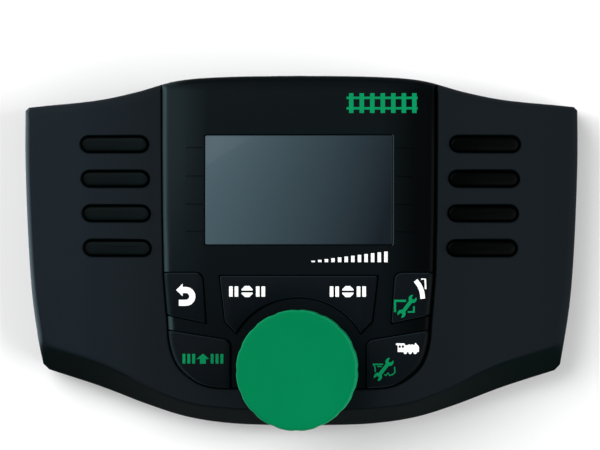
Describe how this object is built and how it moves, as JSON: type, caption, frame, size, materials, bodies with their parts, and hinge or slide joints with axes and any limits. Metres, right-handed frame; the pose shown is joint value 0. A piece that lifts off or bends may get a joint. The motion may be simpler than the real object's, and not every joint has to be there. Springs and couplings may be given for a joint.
{
  "type": "model railway controller",
  "caption": "Two-handed train set controller with a winged housing, display window, pill-shaped function keys, stop key and a large push-and-turn control knob.",
  "frame": {"origin": "under the middle of the controller's bounding box, on the plane that its feet rest on", "axes": "+X to the right across the wings, +Y to the top edge where the cable leaves, +Z out of the face, along the knob's axis"},
  "size_m": [0.1602, 0.1018, 0.038],
  "materials": {
    "housing": "fine matt charcoal texture",
    "fascia": "satin black",
    "fascia_key": "satin dark grey with printed marks",
    "function_key": "gloss black",
    "knob": "satin green",
    "window": "smoked acrylic, polished",
    "lcd": "unlit display, blue grey",
    "silicone": "grey silicone",
    "black_rubber": "matt black",
    "white_plastic": "natural moulded",
    "ribbon": "amber film",
    "board": "green solder mask",
    "chip": "moulded black",
    "steel": "zinc plated"
  },
  "bodies": {
    "housing": {"front_shell": "housing", "rear_shell": "housing", "centre_fascia": "fascia", "display_window": "window", "display_panel": "lcd", "display_backlight": "white_plastic", "display_frame": "white_plastic", "display_ribbon": "ribbon", "main_board": "board", "main_chip": "chip", "driver_chips": "chip", "capacitors": "steel", "cable_header": "white_plastic", "cable_gland": "black_rubber", "keymat_left": "silicone", "keymat_right": "silicone", "keymat_centre": "silicone", "encoder_housing": "chip", "encoder_bushing": "steel", "detent_spring": "steel", "push_dome": "steel", "case_screws": "steel", "board_screws": "steel", "fascia_screws": "steel", "rubber_feet": "black_rubber"},
    "function_key_left_1": {"function_key_left_1": "function_key"},
    "function_key_left_2": {"function_key_left_2": "function_key"},
    "function_key_left_3": {"function_key_left_3": "function_key"},
    "function_key_left_4": {"function_key_left_4": "function_key"},
    "function_key_right_1": {"function_key_right_1": "function_key"},
    "function_key_right_2": {"function_key_right_2": "function_key"},
    "function_key_right_3": {"function_key_right_3": "function_key"},
    "function_key_right_4": {"function_key_right_4": "function_key"},
    "back_key": {"back_key": "fascia_key"},
    "shift_key": {"shift_key": "fascia_key"},
    "stop_key": {"stop_key": "fascia_key"},
    "turnout_key": {"turnout_key": "fascia_key"},
    "loco_key": {"loco_key": "fascia_key"},
    "push_plunger": {"encoder_plunger": "white_plastic"},
    "knob": {"knob": "knob", "encoder_shaft": "steel", "knob_clip": "steel"},
    "detent_wheel": {"detent_wheel": "white_plastic"}
  },
  "joints": [
    {"name": "function_key_left_1_press", "type": "slide", "parent": "housing", "child": "function_key_left_1", "axis": [0, 0, -1], "range_m": [0, 0.0008], "stiffness_N_per_m": 600, "springref_m": -0.0005, "deforming": ["keymat_left"]},
    {"name": "function_key_left_2_press", "type": "slide", "parent": "housing", "child": "function_key_left_2", "axis": [0, 0, -1], "range_m": [0, 0.0008], "stiffness_N_per_m": 600, "springref_m": -0.0005, "deforming": ["keymat_left"]},
    {"name": "function_key_left_3_press", "type": "slide", "parent": "housing", "child": "function_key_left_3", "axis": [0, 0, -1], "range_m": [0, 0.0008], "stiffness_N_per_m": 600, "springref_m": -0.0005, "deforming": ["keymat_left"]},
    {"name": "function_key_left_4_press", "type": "slide", "parent": "housing", "child": "function_key_left_4", "axis": [0, 0, -1], "range_m": [0, 0.0008], "stiffness_N_per_m": 600, "springref_m": -0.0005, "deforming": ["keymat_left"]},
    {"name": "function_key_right_1_press", "type": "slide", "parent": "housing", "child": "function_key_right_1", "axis": [0, 0, -1], "range_m": [0, 0.0008], "stiffness_N_per_m": 600, "springref_m": -0.0005, "deforming": ["keymat_right"]},
    {"name": "function_key_right_2_press", "type": "slide", "parent": "housing", "child": "function_key_right_2", "axis": [0, 0, -1], "range_m": [0, 0.0008], "stiffness_N_per_m": 600, "springref_m": -0.0005, "deforming": ["keymat_right"]},
    {"name": "function_key_right_3_press", "type": "slide", "parent": "housing", "child": "function_key_right_3", "axis": [0, 0, -1], "range_m": [0, 0.0008], "stiffness_N_per_m": 600, "springref_m": -0.0005, "deforming": ["keymat_right"]},
    {"name": "function_key_right_4_press", "type": "slide", "parent": "housing", "child": "function_key_right_4", "axis": [0, 0, -1], "range_m": [0, 0.0008], "stiffness_N_per_m": 600, "springref_m": -0.0005, "deforming": ["keymat_right"]},
    {"name": "back_key_press", "type": "slide", "parent": "housing", "child": "back_key", "axis": [0, 0, -1], "range_m": [0, 0.0008], "stiffness_N_per_m": 600, "springref_m": -0.0005, "deforming": ["keymat_centre"]},
    {"name": "shift_key_press", "type": "slide", "parent": "housing", "child": "shift_key", "axis": [0, 0, -1], "range_m": [0, 0.0008], "stiffness_N_per_m": 600, "springref_m": -0.0005, "deforming": ["keymat_centre"]},
    {"name": "stop_key_press", "type": "slide", "parent": "housing", "child": "stop_key", "axis": [0, 0, -1], "range_m": [0, 0.0008], "stiffness_N_per_m": 600, "springref_m": -0.0005, "deforming": ["keymat_centre"]},
    {"name": "turnout_key_press", "type": "slide", "parent": "housing", "child": "turnout_key", "axis": [0, 0, -1], "range_m": [0, 0.0008], "stiffness_N_per_m": 600, "springref_m": -0.0005, "deforming": ["keymat_centre"]},
    {"name": "loco_key_press", "type": "slide", "parent": "housing", "child": "loco_key", "axis": [0, 0, -1], "range_m": [0, 0.0008], "stiffness_N_per_m": 600, "springref_m": -0.0005, "deforming": ["keymat_centre"]},
    {"name": "knob_push", "type": "slide", "parent": "housing", "child": "push_plunger", "axis": [0, 0, -1], "range_m": [0, 0.0005], "stiffness_N_per_m": 1500, "springref_m": -0.0005, "deforming": ["push_dome"]},
    {"name": "knob_turn", "type": "hinge", "parent": "push_plunger", "child": "knob", "pos_m": [0, -0.0336, 0.0266], "axis": [0, 0, 1], "continuous": true},
    {"name": "detent_turn", "type": "hinge", "parent": "housing", "child": "detent_wheel", "pos_m": [0, -0.0336, 0.0133], "axis": [0, 0, 1], "continuous": true}
  ],
  "couplings": [
    {"joint": "detent_turn", "follows": "knob_turn", "ratio": 1}
  ]
}
